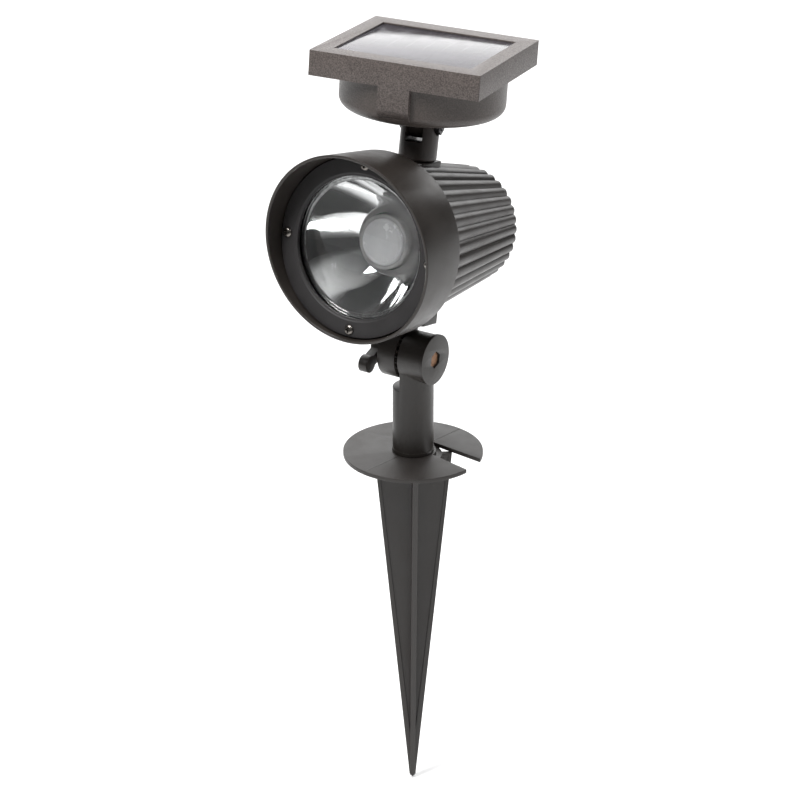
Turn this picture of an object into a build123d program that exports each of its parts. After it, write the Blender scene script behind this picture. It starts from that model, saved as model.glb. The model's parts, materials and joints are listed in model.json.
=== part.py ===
from build123d import *
import math
import os

# Solar garden spotlight on a ground spike, in millimetres.
# +Z is up, the beam leaves towards -Y, and the origin is on the ground: the centre of the collar's underside.

# ---- ground stake ----
COLLAR_R = 37.6
COLLAR_T = 2.2
SLOT_TURN = -11.0          # direction of the collar's slot, from +X
SLOT_OFFSET = 8.8          # the slot's centre line passes this far beside the post
SLOT_WIDTH_IN = 11.2
SLOT_WIDTH_OUT = 15.4
SPIGOT_LAND = 1.4          # rim of collar left between the post and the slot
HUB_R = 15.7
HUB_DROP = 9.0
SPIKE_LENGTH = 201.2
BLADE_TURN = 36.0
BLADE_ROOT_R = 20.9
BLADE_TIP_R = 1.7
BLADE_WEB_T = 1.7
BLADE_RIM_T = 2.8
BLADE_RIM_W = 2.0
SPIGOT_R = 8.45
SPIGOT_H = 26.0
SPIGOT_WALL = 2.4

# ---- post and knuckle ----
POST_R = 11.0
POST_LIP_R = 11.3
POST_LIP_H = 2.0
POST_RISE = 55.5           # collar's top to the knuckle's axis
KNUCKLE_R = 13.7
KNUCKLE_BARREL_R = 13.2
KNUCKLE_FLANGE_T = 1.8
KNUCKLE_RIGHT = 13.8
KNUCKLE_LEFT = 14.0
JOINT_X = -2.6             # middle of the serrated joint
TOOTH_H = 0.7
TOOTH_W = 1.5
TOOTH_COUNT = 24
TOOTH_IN_R = 6.5
TOOTH_OUT_R = 12.8
POST_SHOULDER_DROP = 18.4  # knuckle's axis down to the cut shoulder under the head's half
CLAMP_R = 2.5
NUT_ACROSS = 8.0
CLAMP_NUT_T = 4.0
NUT_POCKET_DEPTH = 5.0
WING_TURN = 119.0          # from the head's up towards its front
WING_REACH = 15.0
WING_LOBE_R = 4.6
WING_T = 5.0
KNOB_HUB_R = 6.0
KNOB_HUB_T = 7.5
KNOB_COVER_T = 1.5         # knob's plastic over the bolt's head
WING_SET_BACK = 0.5
WING_ARM_SHARE = 1.3       # arm's width for each millimetre of lobe radius
CLAMP_HEAD_R = 3.5
CLAMP_HEAD_T = 3.0
CLAMP_WASHER_R = 5.5
WASHER_T = 1.0

# ---- how the lamp is set ----
HEAD_TILT = 10.7           # beam above the horizontal
PANEL_SWIVEL = 11.4        # stem turned on the barrel
PANEL_TILT = 5.8           # panel leaning forward on the stem

# ---- lamp head, measured from the bezel's screw plane along the beam ----
AXIS_RISE = 66.2           # knuckle's axis up to the beam's axis
FRONT_REACH = 68.1         # knuckle's axis forward to the screw plane
NECK_RIGHT = 8.5
NECK_HALF = 8.0            # fore and aft
NECK_CORNER_R = 2.5
NECK_TOP_DROP = 41.5       # beam's axis down to the top of the bracket's neck
NECK_CLEARANCE = 4.2       # neck's underside over the post's half of the knuckle
BRACKET_SCREW_SPREAD = 6.0
BRACKET_SCREW_DEPTH = 6.0
SCREW_SEAT = 7.0           # pad's wall under a screw's head
BEZEL_IN_R = 36.5
BEZEL_OUT_R = 46.2
BEZEL_T = 2.5
BEZEL_EDGE = 0.6           # chamfer along both of the bezel's front edges
SCREW_CIRCLE_R = 42.5
SCREW_HEAD_R = 2.6
SCREW_HEAD_T = 1.5
SCREW_R = 1.3
SCREW_CROSS = 0.8          # width of the cross recess in a screw's head
BEZEL_SCREW_L = 11.0
BEZEL_HOLE_DEPTH = 9.0
SMALL_HEAD_R = 2.2
SMALL_HEAD_T = 1.2
SMALL_CROSS = 0.7
HOOD_REAR_R = 47.8
HOOD_FRONT_R = 48.9
HOOD_WALL = 1.6
HOOD_REAR = -22.5
HOOD_LIP = 9.6             # the rim's height on the beam's axis
HOOD_RAKE = 0.177          # rim rise for each millimetre of height
HOOD_FLANGE_T = 1.5
HOOD_FLANGE_IN_R = 40.0
BARREL_COLLAR_R = 45.8
BARREL_COLLAR_END = -20.0
BARREL_FRONT_R = 44.0
BARREL_REAR_R = 31.6
BARREL_REAR = -109.9
FLUTE_COUNT = 36
FLUTE_DEPTH = 1.4
BARREL_WALL = 2.4
LENS_R = 39.4
GASKET_T = 0.6
GASKET_IN = 0.5            # gasket's edge set back under the bezel
LENS_T = 2.0
REFLECTOR_MOUTH_R = 34.0
REFLECTOR_NECK_R = 14.0
REFLECTOR_FOCUS = 11.0
REFLECTOR_WALL = 1.1
LED_LENS_R = 11.7
LED_LENS_FRONT = -24.0
LED_LENS_T = 4.6
LED_LENS_EDGE = 1.0
LED_RING_EDGE = 0.6
LED_RING_R = 13.6
LED_BOARD_R = 23.0
LED_SCREW_R = 20.0
LED_BOARD_T = 1.6
LED_BOARD_AIR = 0.4        # reflector's neck to the board
LED_SCREW_L = 4.4
CHIP_SIDE = 3.5
CHIP_PITCH = 5.0
CHIP_T = 0.5
SPREADER_R = 35.0
SPREADER_T = 3.0
SPREADER_LEDGE = 2.0
WIRE_HOLE_R = 3.0
WIRE_HOLE_IN = 6.0         # wire hole out from the board's edge
REAR_DISH_MARGIN = 6.0     # flat rim left round the dished rear wall
REAR_DISH_DEPTH = 1.0
PAD_ROOT = 8.0             # how far the pads run down into the barrel
PAD_CORNER_R = 1.0

# ---- stem ----
STEM_BACK = -51.3          # screw plane back to the stem's axis
STEM_R = 10.0
STEM_FOOT_R = 1.4
STEM_BASE = 40.8           # beam's axis up to the stem's foot
STEM_HINGE = 59.5          # beam's axis up to the panel's hinge
PAD_HALF = 9.2
FORK_GAP = 9.3
FORK_FLOOR = 8.6           # hinge down to the fork's floor
FORK_TOP_R = 7.0
NUT_SEAT = 8.7             # stem's axis out to the face under the hinge nut
SEAT_R = 5.2
PANEL_REACH = 32.0         # degrees of tilt that the fork's top leaves room for
SWIVEL_SCREW_R = 2.5
SWIVEL_WASHER_R = 5.5
SWIVEL_SEAT = 5.4          # pad's wall over the swivel washer
INSERT_R = 3.6
INSERT_H = 7.5
HINGE_BOLT_R = 2.5
HINGE_NUT_T = 3.0
BOLT_HEAD_R = 4.4
BOLT_HEAD_T = 1.9
BOLT_EDGE = 0.7            # chamfer round the bolt's head
BOLT_TIP = 0.8             # bolt's end past its nut
BOLT_TIP_EDGE = 0.5
BOLT_CROSS_LONG = 4.6
BOLT_CROSS_WIDE = 1.0
SWIVEL_HEAD_R = 4.4
SWIVEL_HEAD_T = 2.6
SWIVEL_CROSS = 1.2

# ---- solar panel, measured from the panel's hinge ----
PANEL_SIDE = 91.0
PANEL_TOP = 41.0
FRAME_H = 13.0
FRAME_WALL = 2.2
FRAME_LIP_T = 0.9
FRAME_CORNER_R = 0.8
BRIM_X = 8.8               # frame's top from its side in to the window
BRIM_Y = 11.3
DRUM_R = 43.0
DRUM_BOTTOM = 7.8
DRUM_EDGE_R = 5.5
DRUM_WALL = 2.2
DRUM_FLANGE_T = 2.0
TAB_HALF = 8.4
TAB_ACROSS = 0.7
TAB_END = 10.5
TAB_ROUND = 7.0
GLASS_MARGIN = 1.8         # glass under the frame's lip, each side
GLASS_T = 2.0
SEAL_W = 2.0
CELL_COUNT = 8
CELL_GAP = 0.8
CELL_MARGIN = 1.0          # cells in from the window's sides
CELL_T = 0.4
BACKING_T = 1.6
LUG_R = 7.5
LUG_PLATE_X = 28.0
LUG_PLATE_Y = 18.0
LUG_PLATE_T = 2.2
LUG_PLATE_CORNER_R = 2.0
BATTERY_R = 7.25
BATTERY_L = 50.5
BATTERY_COUNT = 3
CONTACT_NUB_R = 2.7
CONTACT_NUB_T = 1.2
TRAY_WALL = 1.5
TRAY_LIFT = 4.2            # tray's floor over the drum's floor
TRAY_END_ROOM = 9.0        # both ends' room for contacts and springs
TRAY_SCREW_OUT = 22.0
TRAY_SCREW_L = 5.0
TRAY_POST_R = 3.0
TRAY_CORNER_R = 1.0
TRAY_BRIM = 0.6            # tray's side over the batteries
PLATE_X = 9.0
PLATE_T = 0.5
PLATE_H = 11.0
PLATE_LIFT = 1.0
SPRING_WIDE_R = 3.8
SPRING_NARROW_R = 2.2
SPRING_IN_R = 1.2
BOARD_X = 44.0
BOARD_Y = 26.0
BOARD_T = 1.6
CHARGER_PARTS = (          # across, upward, width, depth and height of each
    (-8.0, 0.0, 6.0, 5.0, 1.0),
    (3.0, 5.0, 4.0, 4.0, 0.9),
    (12.0, -4.0, 3.2, 1.6, 0.8),
    (-16.0, 6.0, 3.2, 1.6, 0.8),
)
CASE_SCREW_IN = 6.5        # case screw in from the frame's side
BOSS_WALL = 3.2            # boss past the case screw's axis
SWITCH_X = 31.0
SWITCH_TRAVEL = 3.0
SWITCH_STUB_X = 3.0
SWITCH_STUB_Y = 3.4
SWITCH_STUB_OUT = 0.9      # stub's end below the drum's floor
SWITCH_STUB_IN = 1.6       # stub's end above it, inside the switch
SWITCH_WALL = 1.2
SWITCH_END_WALL = 2.5
SWITCH_H = 4.6
SWITCH_WELL = 2.0

# ---- clearances ----
RUN = 0.05                 # radial, of a shaft that turns in its bore
SEAT = 0.02                # radial, of a piece that is fixed in its bore
AIR = 0.3                  # between pieces that move past each other
FIT = 0.2                  # around a piece that drops into its recess
PAST = 1.0                 # how far a cut runs on past a face


# ---- frames ----
def shifted(plane, across=0.0, upward=0.0, along=0.0):
    """The same plane, with its origin moved along its own x, y and z."""
    origin = plane.from_local_coords((across, upward, along))
    return Plane(origin=origin, x_dir=plane.x_dir, z_dir=plane.z_dir)


def lengthwise(plane):
    """The plane that holds the given plane's z axis: its x is radial and its y runs along that axis."""
    return Plane(origin=plane.origin, x_dir=plane.y_dir, z_dir=plane.x_dir)


GROUND = Plane.XY
KNUCKLE_H = COLLAR_T + POST_RISE
tilt = math.radians(HEAD_TILT)
PIVOT = Plane(origin=(0, 0, KNUCKLE_H), x_dir=(1, 0, 0), z_dir=(0, -math.cos(tilt), math.sin(tilt)))
BEAM = shifted(PIVOT, upward=AXIS_RISE, along=FRONT_REACH)
swivel = math.radians(PANEL_SWIVEL)
stem_right = BEAM.x_dir * math.cos(swivel) - BEAM.z_dir * math.sin(swivel)
STEM = Plane(origin=shifted(BEAM, along=STEM_BACK).origin, x_dir=stem_right, z_dir=BEAM.y_dir)
lean = math.radians(PANEL_TILT)
panel_up = STEM.z_dir * math.cos(lean) - STEM.y_dir * math.sin(lean)
PANEL = Plane(origin=shifted(STEM, along=STEM_HINGE).origin, x_dir=STEM.x_dir, z_dir=panel_up)
AXLE = Plane(origin=PIVOT.origin, x_dir=PIVOT.y_dir, z_dir=(1, 0, 0))
HINGE = Plane(origin=PANEL.origin, x_dir=STEM.y_dir, z_dir=STEM.x_dir)


# ---- forms that repeat ----
def turn(plane, outline, mode=Mode.ADD):
    """A body turned about the plane's axis from its half outline of (radius, height) points."""
    with BuildSketch(lengthwise(plane)) as half:
        with BuildLine():
            Polyline(*outline, close=True)
        make_face()
    revolve(half.sketch, axis=Axis(plane.origin, plane.z_dir), mode=mode)


def tube(plane, outer, inner, start, height, mode=Mode.ADD):
    """A straight tube, or a rod where inner is 0, from start for height along the plane's axis."""
    with BuildSketch(plane.offset(start)) as ring:
        Circle(outer)
        if inner > 0:
            Circle(inner, mode=Mode.SUBTRACT)
    extrude(ring.sketch, amount=height, mode=mode)


def block(plane, width, depth, start, height, corner=0.0, across=0.0, upward=0.0, mode=Mode.ADD):
    """A box that stands on the plane at start, centred at (across, upward), with rounded corners."""
    with BuildSketch(shifted(plane, across, upward, start)) as base:
        if corner > 0:
            RectangleRounded(width, depth, corner)
        else:
            Rectangle(width, depth)
    extrude(base.sketch, amount=height, mode=mode)


def hexagon(plane, across_flats, start, height, turned=0.0, mode=Mode.ADD):
    """A six-sided prism, by its size across flats."""
    with BuildSketch(plane.offset(start)) as six:
        RegularPolygon(across_flats / 2, 6, major_radius=False, rotation=turned)
    extrude(six.sketch, amount=height, mode=mode)


def screw(plane, shank_r, length, head_r, head_t, slot_w):
    """A pan-head screw: its head stands on the plane and its shank runs down from it."""
    dome = head_t * 0.45
    turn(plane, [(0, -length), (shank_r, -length), (shank_r, 0), (head_r, 0), (head_r, head_t - dome),
                 (head_r * 0.8, head_t), (0, head_t)])
    for width, depth in ((head_r * 1.2, slot_w), (slot_w, head_r * 1.2)):
        block(plane, width, depth, head_t - dome, head_t, mode=Mode.SUBTRACT)


def serration(plane, direction):
    """A ring of radial teeth on the plane, rising along direction."""
    for tooth in range(TOOTH_COUNT):
        turned = math.radians(tooth * 360 / TOOTH_COUNT)
        radial = plane.x_dir * math.cos(turned) + plane.y_dir * math.sin(turned)
        foot = Plane(origin=plane.origin + radial * TOOTH_IN_R, x_dir=direction.cross(radial), z_dir=radial)
        with BuildSketch(foot) as flank:
            with BuildLine():
                Polyline((-TOOTH_W / 2, 0), (TOOTH_W / 2, 0), (0, TOOTH_H), close=True)
            make_face()
        extrude(flank.sketch, amount=TOOTH_OUT_R - TOOTH_IN_R)


def write(piece, name):
    piece.part.label = name
    export_step(piece.part, f"parts/{name}.step")


os.makedirs("parts", exist_ok=True)

# ================= ground stake =================
slot_angle = math.radians(SLOT_TURN)
slot_frame = Plane(
    origin=(-math.sin(slot_angle) * SLOT_OFFSET, math.cos(slot_angle) * SLOT_OFFSET, 0),
    x_dir=(math.cos(slot_angle), math.sin(slot_angle), 0),
    z_dir=(0, 0, 1),
)
slot_reach = COLLAR_R * 1.2

with BuildPart() as ground_stake:
    with BuildSketch(GROUND):
        Circle(COLLAR_R)
    extrude(amount=COLLAR_T)
    with BuildSketch(slot_frame):
        with BuildLine():
            Polyline((0, -SLOT_WIDTH_IN / 2), (slot_reach, -SLOT_WIDTH_OUT / 2),
                     (slot_reach, SLOT_WIDTH_OUT / 2), (0, SLOT_WIDTH_IN / 2), close=True)
        make_face()
    extrude(amount=COLLAR_T, mode=Mode.SUBTRACT)
    tube(GROUND, POST_R + SPIGOT_LAND, 0, 0, COLLAR_T)
    tube(GROUND, SPIGOT_R, 0, 0, COLLAR_T + SPIGOT_H)
    tube(GROUND, HUB_R, 0, -HUB_DROP, HUB_DROP)
    for turned in (BLADE_TURN, BLADE_TURN + 90):
        side = math.radians(turned)
        blade = Plane(origin=(0, 0, 0), x_dir=(math.cos(side), math.sin(side), 0),
                      z_dir=(math.sin(side), -math.cos(side), 0))
        with BuildSketch(blade) as web:
            with BuildLine():
                Polyline((-BLADE_ROOT_R, 0), (BLADE_ROOT_R, 0), (BLADE_TIP_R, -SPIKE_LENGTH + BLADE_TIP_R),
                         (0, -SPIKE_LENGTH), (-BLADE_TIP_R, -SPIKE_LENGTH + BLADE_TIP_R), close=True)
            make_face()
        extrude(web.sketch, amount=BLADE_WEB_T / 2, both=True)
        inset = BLADE_RIM_W
        with BuildSketch(blade) as rim:
            add(web.sketch_local)
            with BuildLine():
                Polyline((-BLADE_ROOT_R + inset, -inset), (BLADE_ROOT_R - inset, -inset),
                         (inset / 4, -SPIKE_LENGTH + BLADE_ROOT_R), (-inset / 4, -SPIKE_LENGTH + BLADE_ROOT_R),
                         close=True)
            make_face(mode=Mode.SUBTRACT)
        extrude(rim.sketch, amount=BLADE_RIM_T / 2, both=True)
    tube(GROUND, SPIGOT_R - SPIGOT_WALL, 0, COLLAR_T, SPIGOT_H, mode=Mode.SUBTRACT)
write(ground_stake, "ground_stake")

# ================= post and knuckle =================
post_foot = COLLAR_T + AIR
joint_half_gap = AIR / 2 + TOOTH_H
post_face = JOINT_X + joint_half_gap
head_face = JOINT_X - joint_half_gap

with BuildPart() as post:
    turn(GROUND, [(0, post_foot), (POST_LIP_R, post_foot), (POST_LIP_R, post_foot + POST_LIP_H),
                  (POST_R, post_foot + POST_LIP_H), (POST_R, KNUCKLE_H), (0, KNUCKLE_H)])
    block(GROUND, POST_R * 2, POST_R * 3, KNUCKLE_H - POST_SHOULDER_DROP, POST_SHOULDER_DROP * 2,
          across=post_face - POST_R, mode=Mode.SUBTRACT)
    turn(AXLE, [(0, post_face), (KNUCKLE_BARREL_R, post_face),
                (KNUCKLE_BARREL_R, KNUCKLE_RIGHT - KNUCKLE_FLANGE_T),
                (KNUCKLE_R, KNUCKLE_RIGHT - KNUCKLE_FLANGE_T),
                (KNUCKLE_R, KNUCKLE_RIGHT), (0, KNUCKLE_RIGHT)])
    serration(AXLE.offset(post_face), Vector(-1, 0, 0))
    tube(AXLE, CLAMP_R + RUN, 0, head_face, KNUCKLE_RIGHT - head_face, mode=Mode.SUBTRACT)
    hexagon(AXLE, NUT_ACROSS + FIT, KNUCKLE_RIGHT - NUT_POCKET_DEPTH, NUT_POCKET_DEPTH * 2, mode=Mode.SUBTRACT)
    tube(GROUND, SPIGOT_R + RUN, 0, post_foot - PAST, SPIGOT_H + PAST + AIR, mode=Mode.SUBTRACT)
write(post, "post")

with BuildPart() as clamp_nut:
    hexagon(AXLE, NUT_ACROSS, KNUCKLE_RIGHT - NUT_POCKET_DEPTH, CLAMP_NUT_T)
    tube(AXLE, CLAMP_R + RUN, 0, KNUCKLE_RIGHT - NUT_POCKET_DEPTH, CLAMP_NUT_T, mode=Mode.SUBTRACT)
write(clamp_nut, "clamp_nut")

knob_face = -KNUCKLE_LEFT - WASHER_T - 2 * AIR
knob_back = knob_face - KNOB_HUB_T
bolt_head = knob_back + KNOB_COVER_T
clamp_end = KNUCKLE_RIGHT - NUT_POCKET_DEPTH + CLAMP_NUT_T

with BuildPart() as clamp_bolt:
    turn(AXLE, [(0, bolt_head), (CLAMP_HEAD_R, bolt_head), (CLAMP_HEAD_R, bolt_head + CLAMP_HEAD_T),
                (CLAMP_R, bolt_head + CLAMP_HEAD_T), (CLAMP_R, clamp_end), (0, clamp_end)])
write(clamp_bolt, "clamp_bolt")

with BuildPart() as clamp_washer:
    tube(AXLE, CLAMP_WASHER_R, CLAMP_R + SEAT, -KNUCKLE_LEFT - WASHER_T - AIR, WASHER_T)
write(clamp_washer, "clamp_washer")

wing_turn = math.radians(WING_TURN)
with BuildPart() as thumb_knob:
    tube(AXLE, KNOB_HUB_R, 0, knob_back, KNOB_HUB_T)
    wing_plane = AXLE.offset(knob_back + WING_SET_BACK)
    for side in (1, -1):
        reach = WING_REACH * side
        across, upward = reach * math.cos(wing_turn), reach * math.sin(wing_turn)
        with BuildSketch(wing_plane) as lobe:
            with Locations((across, upward)):
                Circle(WING_LOBE_R)
        extrude(lobe.sketch, amount=WING_T)
        with BuildSketch(wing_plane) as arm:
            with Locations((across / 2, upward / 2)):
                Rectangle(WING_REACH, WING_LOBE_R * WING_ARM_SHARE, rotation=WING_TURN)
        extrude(arm.sketch, amount=WING_T)
    turn(AXLE, [(0, bolt_head), (CLAMP_HEAD_R, bolt_head), (CLAMP_HEAD_R, bolt_head + CLAMP_HEAD_T),
                (CLAMP_R, bolt_head + CLAMP_HEAD_T), (CLAMP_R, knob_face + PAST), (0, knob_face + PAST)],
         mode=Mode.SUBTRACT)
write(thumb_knob, "thumb_knob")

# ================= lamp head =================
NECK = Plane(origin=shifted(BEAM, upward=-AXIS_RISE, along=-FRONT_REACH).origin,
             x_dir=(1, 0, 0), z_dir=BEAM.y_dir)
neck_height = AXIS_RISE - NECK_TOP_DROP
neck_width = KNUCKLE_LEFT + NECK_RIGHT
neck_middle = (NECK_RIGHT - KNUCKLE_LEFT) / 2
neck_bottom = KNUCKLE_R + NECK_CLEARANCE
bracket_screws_at = (neck_middle - BRACKET_SCREW_SPREAD, neck_middle + BRACKET_SCREW_SPREAD)

with BuildPart() as knuckle_bracket:
    tube(AXLE, KNUCKLE_R, 0, -KNUCKLE_LEFT, KNUCKLE_LEFT + head_face)
    block(NECK, KNUCKLE_LEFT + head_face, NECK_HALF * 2, 0, neck_bottom, across=(head_face - KNUCKLE_LEFT) / 2)
    block(NECK, neck_width, NECK_HALF * 2, neck_bottom, neck_height - neck_bottom, corner=NECK_CORNER_R,
          across=neck_middle)
    serration(AXLE.offset(head_face), Vector(1, 0, 0))
    tube(AXLE, CLAMP_R + RUN, 0, -KNUCKLE_LEFT - PAST, KNUCKLE_LEFT + PAST, mode=Mode.SUBTRACT)
    for across in bracket_screws_at:
        tube(shifted(NECK, across), SCREW_R + SEAT, 0, neck_height - BRACKET_SCREW_DEPTH - FIT,
             BRACKET_SCREW_DEPTH + FIT, mode=Mode.SUBTRACT)
write(knuckle_bracket, "knuckle_bracket")

bezel_back = -SCREW_HEAD_T - BEZEL_T
flange_back = bezel_back - HOOD_FLANGE_T
lens_front = bezel_back - GASKET_T
lens_back = lens_front - LENS_T
reflector_flange_back = lens_back - REFLECTOR_WALL
mouth_depth = REFLECTOR_MOUTH_R**2 / (4 * REFLECTOR_FOCUS)
neck_depth = REFLECTOR_NECK_R**2 / (4 * REFLECTOR_FOCUS)
neck_front = lens_back - mouth_depth + neck_depth
board_front = neck_front - REFLECTOR_WALL - LED_BOARD_AIR
board_back = board_front - LED_BOARD_T
spreader_back = board_back - SPREADER_T
ledge_back = spreader_back - SPREADER_LEDGE


def barrel_radius(along):
    """The fluted barrel's crest radius at a place along the beam."""
    share = (along - BARREL_REAR) / (BARREL_COLLAR_END - BARREL_REAR)
    return BARREL_REAR_R + (BARREL_FRONT_R - BARREL_REAR_R) * share


def fluted_ring(along):
    """The scalloped cross-section of the barrel at a place along the beam, as a face."""
    crest = barrel_radius(along)
    valley = crest - FLUTE_DEPTH
    step = 2 * math.pi / FLUTE_COUNT
    with BuildSketch(BEAM.offset(along)) as ring:
        with BuildLine():
            for flute in range(FLUTE_COUNT):
                start, middle, end = flute * step, (flute + 0.5) * step, (flute + 1) * step
                ThreePointArc((valley * math.cos(start), valley * math.sin(start)),
                              (crest * math.cos(middle), crest * math.sin(middle)),
                              (valley * math.cos(end), valley * math.sin(end)))
        make_face()
    return ring.sketch


def barrel_inside(along):
    """The barrel's inner radius at a place along the beam."""
    return barrel_radius(along) - FLUTE_DEPTH - BARREL_WALL


BARREL_TOP = Plane(origin=STEM.origin, x_dir=(1, 0, 0), z_dir=BEAM.y_dir)
BARREL_FOOT = Plane(origin=shifted(BEAM, along=-FRONT_REACH).origin, x_dir=(1, 0, 0), z_dir=-BEAM.y_dir)
end_wall = BARREL_REAR + BARREL_WALL
pad_top = STEM_BASE - AIR
top_inner = pad_top - SWIVEL_SEAT
foot_inner = NECK_TOP_DROP - SCREW_SEAT

with BuildPart() as barrel_housing:
    loft([fluted_ring(BARREL_REAR).face(), fluted_ring(BARREL_COLLAR_END).face()], ruled=True)
    tube(BEAM, BARREL_COLLAR_R, 0, BARREL_COLLAR_END, flange_back - BARREL_COLLAR_END)
    block(BARREL_TOP, PAD_HALF * 2, PAD_HALF * 2, pad_top - PAD_ROOT, PAD_ROOT, corner=PAD_CORNER_R)
    block(BARREL_FOOT, neck_width, NECK_HALF * 2, NECK_TOP_DROP - PAD_ROOT, PAD_ROOT, corner=NECK_CORNER_R,
          across=neck_middle)
    turn(BEAM, [(0, end_wall), (barrel_inside(end_wall), end_wall),
                (barrel_inside(ledge_back), ledge_back),
                (SPREADER_R - SPREADER_LEDGE, ledge_back), (SPREADER_R - SPREADER_LEDGE, spreader_back),
                (SPREADER_R + FIT, spreader_back), (SPREADER_R + FIT, reflector_flange_back),
                (LENS_R + FIT, reflector_flange_back), (LENS_R + FIT, 0), (0, 0)], mode=Mode.SUBTRACT)
    tube(BEAM, BARREL_REAR_R - REAR_DISH_MARGIN, 0, BARREL_REAR - PAST, REAR_DISH_DEPTH + PAST,
         mode=Mode.SUBTRACT)
    tube(BARREL_TOP, SWIVEL_SCREW_R + RUN, 0, 0, STEM_BASE + PAST, mode=Mode.SUBTRACT)
    tube(BARREL_TOP, SWIVEL_WASHER_R + AIR, 0, 0, top_inner, mode=Mode.SUBTRACT)
    for across in bracket_screws_at:
        tube(shifted(BARREL_FOOT, across), SCREW_R + SEAT, 0, 0, NECK_TOP_DROP + PAST, mode=Mode.SUBTRACT)
        tube(shifted(BARREL_FOOT, across), SCREW_HEAD_R + AIR, 0, 0, foot_inner, mode=Mode.SUBTRACT)
    for corner in range(4):
        turned = math.radians(corner * 90)
        hole = shifted(BEAM, SCREW_CIRCLE_R * math.cos(turned), SCREW_CIRCLE_R * math.sin(turned))
        tube(hole, SCREW_R + SEAT, 0, flange_back - BEZEL_HOLE_DEPTH, BEZEL_HOLE_DEPTH + PAST,
             mode=Mode.SUBTRACT)
write(barrel_housing, "barrel_housing")

hood_front = HOOD_LIP + HOOD_RAKE * HOOD_FRONT_R + PAST
hood_draft = (HOOD_FRONT_R - HOOD_REAR_R) / (hood_front - HOOD_REAR)


def hood_radius(along):
    """The hood's outer radius at a place along the beam."""
    return HOOD_REAR_R + hood_draft * (along - HOOD_REAR)


rim_origin = BEAM.from_local_coords((0, 0, HOOD_LIP))
rim_normal = BEAM.z_dir - BEAM.y_dir * HOOD_RAKE
HOOD_RIM = Plane(origin=rim_origin, x_dir=(1, 0, 0), z_dir=rim_normal)

with BuildPart() as hood:
    turn(BEAM, [(hood_radius(HOOD_REAR) - HOOD_WALL, HOOD_REAR), (hood_radius(HOOD_REAR), HOOD_REAR),
                (hood_radius(hood_front), hood_front), (hood_radius(hood_front) - HOOD_WALL, hood_front),
                (hood_radius(bezel_back) - HOOD_WALL, bezel_back), (HOOD_FLANGE_IN_R, bezel_back),
                (HOOD_FLANGE_IN_R, flange_back), (hood_radius(flange_back) - HOOD_WALL, flange_back)])
    split(bisect_by=HOOD_RIM, keep=Keep.BOTTOM)
    for corner in range(4):
        turned = math.radians(corner * 90)
        hole = shifted(BEAM, SCREW_CIRCLE_R * math.cos(turned), SCREW_CIRCLE_R * math.sin(turned))
        tube(hole, SCREW_R + FIT, 0, flange_back - PAST, HOOD_FLANGE_T + 2 * PAST, mode=Mode.SUBTRACT)
write(hood, "hood")

with BuildPart() as bezel_ring:
    turn(BEAM, [(BEZEL_IN_R, bezel_back), (BEZEL_OUT_R, bezel_back), (BEZEL_OUT_R, -SCREW_HEAD_T - BEZEL_EDGE),
                (BEZEL_OUT_R - BEZEL_EDGE, -SCREW_HEAD_T), (BEZEL_IN_R + BEZEL_EDGE, -SCREW_HEAD_T),
                (BEZEL_IN_R, -SCREW_HEAD_T - BEZEL_EDGE)])
    for corner in range(4):
        turned = math.radians(corner * 90)
        hole = shifted(BEAM, SCREW_CIRCLE_R * math.cos(turned), SCREW_CIRCLE_R * math.sin(turned))
        tube(hole, SCREW_R + FIT, 0, bezel_back - PAST, BEZEL_T + 2 * PAST, mode=Mode.SUBTRACT)
write(bezel_ring, "bezel_ring")

with BuildPart() as bezel_screws:
    for corner in range(4):
        turned = math.radians(corner * 90)
        place = shifted(BEAM, SCREW_CIRCLE_R * math.cos(turned), SCREW_CIRCLE_R * math.sin(turned),
                        -SCREW_HEAD_T)
        screw(place, SCREW_R, BEZEL_SCREW_L, SCREW_HEAD_R, SCREW_HEAD_T, SCREW_CROSS)
write(bezel_screws, "bezel_screws")

with BuildPart() as bracket_screws:
    for across in bracket_screws_at:
        seat = Plane(origin=shifted(BARREL_FOOT, across, 0, foot_inner).origin, x_dir=(1, 0, 0),
                     z_dir=BEAM.y_dir)
        screw(seat, SCREW_R, SCREW_SEAT + BRACKET_SCREW_DEPTH, SCREW_HEAD_R, SCREW_HEAD_T, SCREW_CROSS)
write(bracket_screws, "bracket_screws")

with BuildPart() as lens_gasket:
    tube(BEAM, LENS_R, BEZEL_IN_R + GASKET_IN, lens_front, GASKET_T)
write(lens_gasket, "lens_gasket")

with BuildPart() as front_lens:
    tube(BEAM, LENS_R, 0, lens_back, LENS_T)
write(front_lens, "front_lens")

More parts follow.
